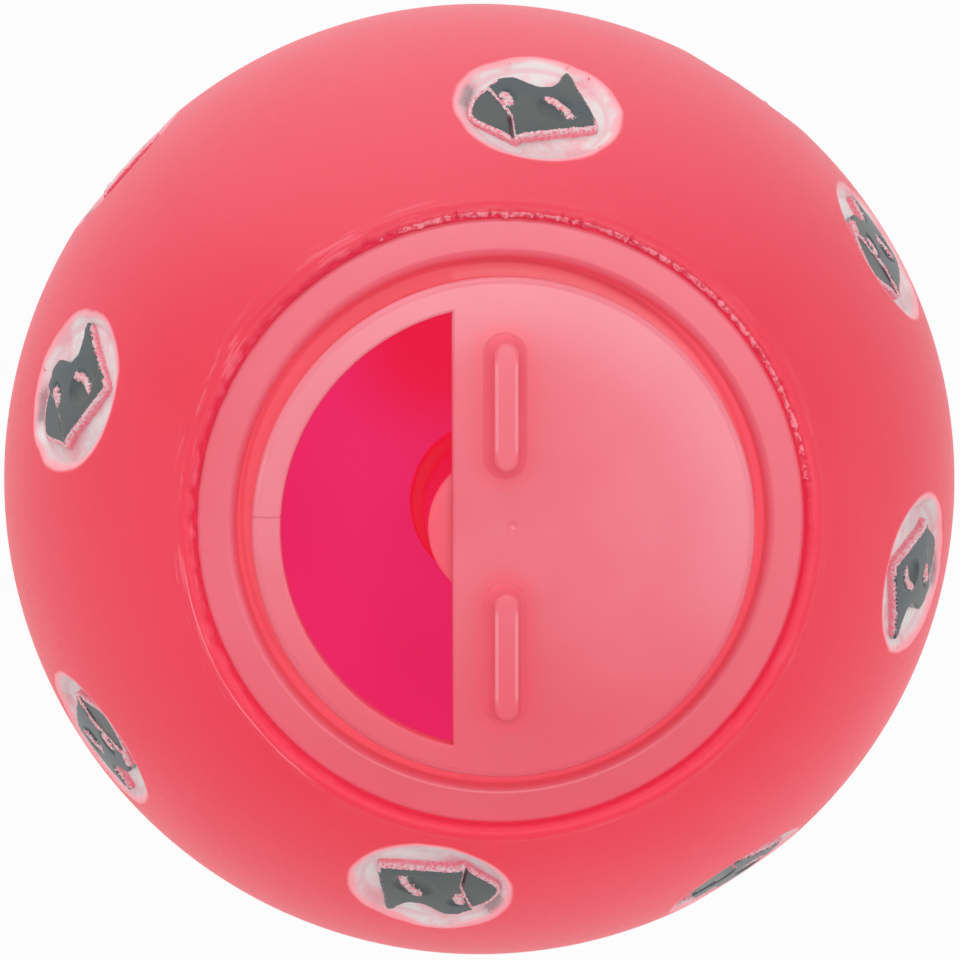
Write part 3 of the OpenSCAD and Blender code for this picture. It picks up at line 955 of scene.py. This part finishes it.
# The window's cutter narrows in a rounded step at the dial's face, so that it leaves a
# rounded edge
bpy.ops.object.select_all(action="DESELECT")
bpy.ops.mesh.primitive_cylinder_add(
    vertices=256, radius=window_r + window_round, depth=MM, location=(*dial_axis, dial_z + MM / 2))
window_cutter = bpy.context.active_object
bpy.ops.object.mode_set(mode="EDIT")
bpy.ops.mesh.bisect(
    plane_co=(dial_axis[0] - window_chord + window_round, 0, 0), plane_no=(1, 0, 0),
    clear_outer=True, use_fill=True, threshold=hair)
bpy.ops.mesh.select_mode(type="FACE")
bpy.ops.mesh.select_all(action="DESELECT")
mesh = bmesh.from_edit_mesh(window_cutter.data)
for face in mesh.faces:
    face.select = face.normal.z < -0.9
bmesh.update_edit_mesh(window_cutter.data)
edge_steps = 4
for k in range(edge_steps):
    a, b = (math.pi / 2 * i / edge_steps for i in (k, k + 1))
    bpy.ops.mesh.inset(
        thickness=window_round * (math.sin(b) - math.sin(a)),
        depth=window_round * (math.cos(a) - math.cos(b)))
bpy.ops.mesh.extrude_region_move(TRANSFORM_OT_translate={"value": (0, 0, plate_z - dial_z)})
bpy.ops.mesh.select_mode(type="VERT")
cut(dial, finished(window_cutter))

# A rib is a turned stud with a soft foot, drawn out to its length
rib_run = rib_length - rib_w
rib_start = (rib_gap + rib_w) / 2
foot_r = rib_w / 2 + rib_foot
rib = turned("rib", rounded([
    (0, dial_z + rib_h, 0), (rib_top_w / 2, dial_z + rib_h, 0.22 * MM),
    (rib_w / 2, dial_z, rib_foot), (foot_r, dial_z - 10 * hair, 0), (foot_r, dial_z - rib_root, 0),
    (0, dial_z - rib_root, 0)
]), 48, (dial_axis[0], dial_axis[1] + rib_start))
mesh = bmesh.from_edit_mesh(rib.data)
for vertex in mesh.verts:
    vertex.select = vertex.co.y > dial_axis[1] + rib_start + 10 * hair
bmesh.update_edit_mesh(rib.data)
bpy.ops.transform.translate(value=(0, rib_run, 0))
finished(rib)
to_dial = Matrix.Translation((*dial_axis, 0))
half_turn = to_dial @ Matrix.Rotation(math.pi, 4, "Z") @ to_dial.inverted()
other_rib = placed_copy(rib, "other_rib", half_turn)
cut(dial, rib, "UNION")
cut(dial, other_rib, "UNION")

# The dimple that the mould's gate left between the ribs
gate_half_w = 0.95 * MM
gate_half_d = 0.56 * MM
gate_lift = 0.52 * MM
gate_place = (dial_axis[0] + 0.5 * MM, dial_axis[1] + 0.3 * MM, dial_z + gate_lift)
cut(dial, blob(gate_place, gate_half_w, gate_half_w, gate_half_d))
bpy.ops.object.shade_smooth_by_angle(angle=math.radians(32))
# The level faces shade as flat, so that their edges' rounding doesn't spread over them
for polygon in dial.data.polygons:
    if polygon.normal.z > 0.99999:
        polygon.use_smooth = False
even_shading(dial)

dial_plastic, tree, shader = surface(
    "pale_plastic", {
        "IOR": 1.48, "Subsurface Weight": 0.35, "Subsurface Radius": light_spread,
        "Subsurface Scale": 0.7 * MM, "Emission Strength": 0.5
    })
plastic = group_node(tree, moulded, 70.0, 1500.0)
place = put(tree, "TexCoord").outputs["Object"]
centred = put(tree, "VectorMath", place, (*dial_axis, 0), operation="SUBTRACT").outputs[0]
axes = put(tree, "SeparateXYZ", centred).outputs
face = mixed(tree, plastic.outputs["Tone"], screen_colour(238, 100, 119), screen_colour(241, 116, 133))
# Redder halo around the ribs, partly where the plastic is thicker and partly painted shade at
# their feet, by the distance from the line that runs along a rib's middle
half_run = rib_run / 2
along = calc(tree, "SUBTRACT", calc(tree, "ABSOLUTE", axes[1]), rib_start + half_run)
along = calc(tree, "ABSOLUTE", along)
past_end = calc(tree, "MAXIMUM", calc(tree, "SUBTRACT", along, half_run), 0.0)
off_rib = axis_distance(tree, put(tree, "CombineXYZ", axes[0], past_end).outputs[0])
raised = fade(tree, axes[2], dial_z + 0.01 * MM, dial_z + 0.2 * MM)
halo = product(tree, fade(tree, off_rib, 2.6 * MM, 1.2 * MM), 0.55,
               calc(tree, "MULTIPLY_ADD", raised, -0.8, 1.0))
face = mixed(tree, halo, face, screen_colour(235, 76, 95))
# Painted shade: the face darker towards the bottom
lower_shade = product(tree, fade(tree, axes[1], -2 * MM, -15 * MM), 0.45)
face = mixed(tree, lower_shade, face, screen_colour(234, 70, 92))
# Painted highlights: lighter towards the plate's edge, except near its bottom, and along the edges of
# the ribs' tops
off_axis = axis_distance(tree, centred)
edge_highlight = product(tree, fade(tree, off_axis, 10 * MM, 15.5 * MM),
                  fade(tree, axes[1], -11 * MM, 4 * MM))
face = mixed(tree, product(tree, edge_highlight, 0.3), face, screen_colour(246, 176, 186))
rib_edge = rib_top_w / 2
rib_top_z = dial_z + rib_h
rib_edge_highlight = product(
    tree, fade(tree, off_rib, rib_edge - 0.26 * MM, rib_edge - 0.14 * MM),
    fade(tree, off_rib, rib_edge + 0.04 * MM, rib_edge - 0.06 * MM),
    fade(tree, axes[2], rib_top_z - 0.5 * MM, rib_top_z - 0.3 * MM),
    fade(tree, along, half_run, 0.75 * half_run))
face = mixed(tree, product(tree, rib_edge_highlight, 0.35), face, screen_colour(252, 190, 196))
# A knit line across the narrow left part of the plate
off_knit = calc(tree, "MULTIPLY_ADD", cloud(tree, place, 900.0), 0.25 * MM, axes[1])
off_knit = calc(tree, "ABSOLUTE", calc(tree, "SUBTRACT", off_knit, 1.05 * MM))
knit = product(tree, fade(tree, off_knit, 0.09 * MM, 0.03 * MM),
               fade(tree, axes[0], -13.0 * MM, -14.2 * MM), 0.55)
face = mixed(tree, knit, face, screen_colour(206, 84, 100))
# Painted shade: redder on the rim's side under the dial's face
under = product(tree, fade(tree, axes[2], dial_z - 0.5 * MM, dial_z - 1.3 * MM),
                fade(tree, off_axis, dial_r - 1.0 * MM, dial_r - 0.4 * MM))
face = mixed(tree, under, face, screen_colour(234, 64, 84))
tree.links.new(face, shader.inputs["Base Color"])
# Painted glow: a little light painted into the plastic under the dial's edge, around the ribs' feet and
# on their walls
painted_glow = mixed(tree, under, (0, 0, 0, 1), screen_colour(130, 44, 56))
walls = product(tree, raised, fade(tree, off_rib, rib_edge, rib_w / 2))
painted_glow = mixed(tree, calc(tree, "MAXIMUM", halo, walls), painted_glow, screen_colour(122, 54, 66))
tree.links.new(painted_glow, shader.inputs["Emission Color"])
roughened(tree, shader, plastic.outputs["Tooth"], 0.03, 0.25)
# Fine streaks across the face, from the mould's polish
brushed = put(tree, "Mapping", centred, (0, 0, 0), (0, 0, math.radians(4)), (1, 14, 1)).outputs[0]
streaks = cloud(tree, brushed, 140.0, 3.0)
relief = calc(tree, "MULTIPLY_ADD", streaks, 0.8, plastic.outputs["Height"])
embossed(tree, shader, relief, 0.15, 0.0015 * MM)
only_material(dial, dial_plastic)

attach(dial, "dial")
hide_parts("dial_disc")

# The retaining cap is a small moulded cup, pressed on the post's end under the hub. It
# keeps the dial from lifting out.
pivot_cap_r = (pivot_high.x - pivot_low.x) / 2
press = 0.02 * MM
stud_hole_r = stud_r - press
pivot = finished(turned("retaining_cap", rounded([
    (0, pivot_low.z, 0), (pivot_cap_r, pivot_low.z, 0.5 * MM),
    (pivot_cap_r, pivot_high.z, 0.25 * MM), (stud_hole_r, pivot_high.z, 0.15 * MM),
    (stud_hole_r, pivot_floor_z, 0), (0, pivot_floor_z, 0)
]), 96, dial_axis))

# Painted shade and glow: the retaining cap is coloured the deep red of the shade under the hub, and lit
# mostly by its own glow
pivot_plastic, tree, shader = surface(
    "retaining_cap_plastic", {"IOR": 1.48, "Emission Strength": 0.88})
plastic = group_node(tree, moulded, 90.0, 1800.0)
body = mixed(tree, plastic.outputs["Tone"], screen_colour(220, 18, 48), screen_colour(226, 24, 56))
tree.links.new(mixed(tree, 0.75, body, (0, 0, 0, 1)), shader.inputs["Base Color"])
tree.links.new(body, shader.inputs["Emission Color"])
roughened(tree, shader, plastic.outputs["Tooth"], 0.1, 0.55)
embossed(tree, shader, plastic.outputs["Height"], 0.25, 0.012 * MM)
pivot.data.materials.append(pivot_plastic)

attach(pivot, "dial")
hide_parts("pivot_cap")

# The studio is a pale floor under a white sky with soft lamps. The camera looks almost
# straight down at the mouth.
under_ball = 0.05 * MM
bpy.ops.object.select_all(action="DESELECT")
bpy.ops.mesh.primitive_plane_add(size=3, location=(0, 0, cad_box[0].z - under_ball))
studio_floor = bpy.context.active_object
studio_floor.name = "studio_floor"
backdrop, tree, shader = surface(
    "backdrop", {"Base Color": screen_colour(238, 238, 238), "Roughness": 0.9})
paths = put(tree, "LightPath").outputs
mirrored = calc(tree, "MAXIMUM", paths["Is Glossy Ray"], paths["Is Transmission Ray"])
seen = calc(tree, "MAXIMUM", paths["Is Camera Ray"], mirrored)
white_light = put(tree, "Emission", (1, 1, 1, 1), 1.0).outputs[0]
both = put(tree, "MixShader", product(tree, seen, 0.93), shader.outputs[0], white_light)
tree.links.new(both.outputs[0], tree.nodes["Material Output"].inputs["Surface"])
studio_floor.data.materials.append(backdrop)

camera_place = Vector((-9.0, 17.7, 173.9)) * MM
camera_up = Vector((0.0065, 0.9949, -0.1009))
look = -camera_place.normalized()
right = look.cross(camera_up).normalized()
camera_turn = Matrix((right, right.cross(look), -look)).transposed().to_euler()
bpy.ops.object.camera_add(location=camera_place, rotation=camera_turn)
camera = bpy.context.active_object
camera.data.sensor_width = 36
camera.data.lens = 87.32
camera.data.shift_x = 0.00073
camera.data.shift_y = -0.00104
camera.data.clip_start = 0.01
bpy.context.scene.camera = camera

world = bpy.context.scene.world or bpy.data.worlds.new("studio")
bpy.context.scene.world = world
world.use_nodes = True
sky = world.node_tree.nodes["Background"]
sky.inputs["Color"].default_value = (1, 1, 1, 1)
sky.inputs["Strength"].default_value = 0.68
# Place, width and height in metres and power in watts of each lamp: a wide one beyond the
# picture's top, two small ones behind the camera for the highlights, one at each side, and
# one behind the ball for its upper limb
for place, width, height, power in [
    ((-0.1, 0.45, 0.15), 0.5, 0.3, 0.45), ((0.02, 0.06, 0.5), 0.12, 0.08, 0.3),
    ((0.12, -0.01, 0.5), 0.12, 0.08, 0.12), ((-0.45, 0.05, 0.3), 0.04, 0.3, 0.2),
    ((0.45, 0.05, 0.3), 0.04, 0.3, 0.2), ((-0.22, 0.36, -0.06), 0.3, 0.12, 0.22)
]:
    aim = (-Vector(place)).to_track_quat("-Z", "Y").to_euler()
    bpy.ops.object.light_add(type="AREA", location=place, rotation=aim)
    lamp = bpy.context.active_object
    lamp.data.shape = "RECTANGLE"
    lamp.data.size = width
    lamp.data.size_y = height
    lamp.data.energy = power
bpy.context.scene.view_settings.view_transform = "Standard"
